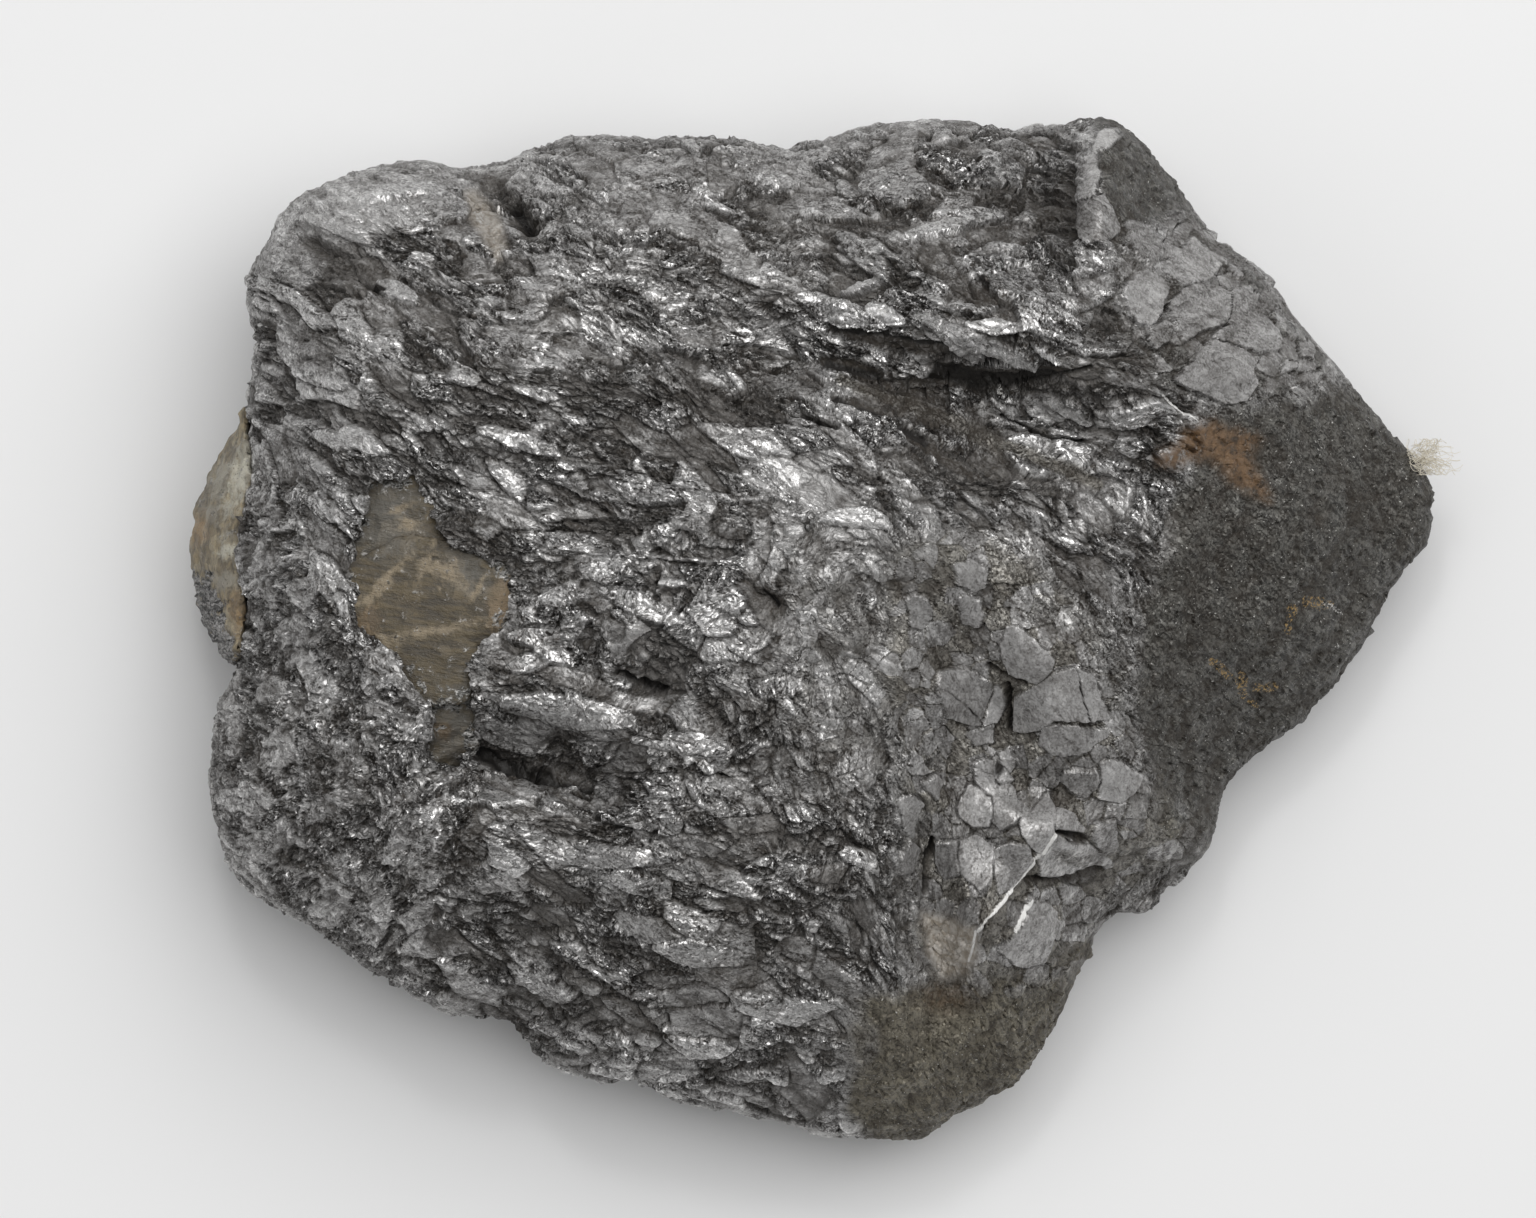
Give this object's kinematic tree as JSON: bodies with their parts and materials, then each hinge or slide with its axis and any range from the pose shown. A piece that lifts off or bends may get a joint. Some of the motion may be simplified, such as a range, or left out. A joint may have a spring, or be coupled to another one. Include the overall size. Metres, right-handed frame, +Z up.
{
  "type": "graphite specimen",
  "caption": "Rough hand-sized lump of bladed vein graphite with feldspar set in it, lying flat on its broken underside as a display or study piece.",
  "frame": {"origin": "middle of the bounding box, on the surface that the lump lies on", "axes": "+Z up; +X towards the sharp tip, along the longest side; +Y towards the peak's side"},
  "size_m": [0.1278, 0.103, 0.0501],
  "materials": {
    "graphite": "bladed and flaky, half metallic, with bright cleavage faces and dull granular patches",
    "feldspar": "stepped cleavage, satin, smeared with graphite",
    "weathered_feldspar": "rough and weathered, with clear patches",
    "lint": "loose fibres, matte"
  },
  "bodies": {
    "root": {"graphite_mass": "graphite", "feldspar_inclusion": "feldspar", "feldspar_wedge": "weathered_feldspar", "lint_wisp": "lint"}
  },
  "joints": []
}
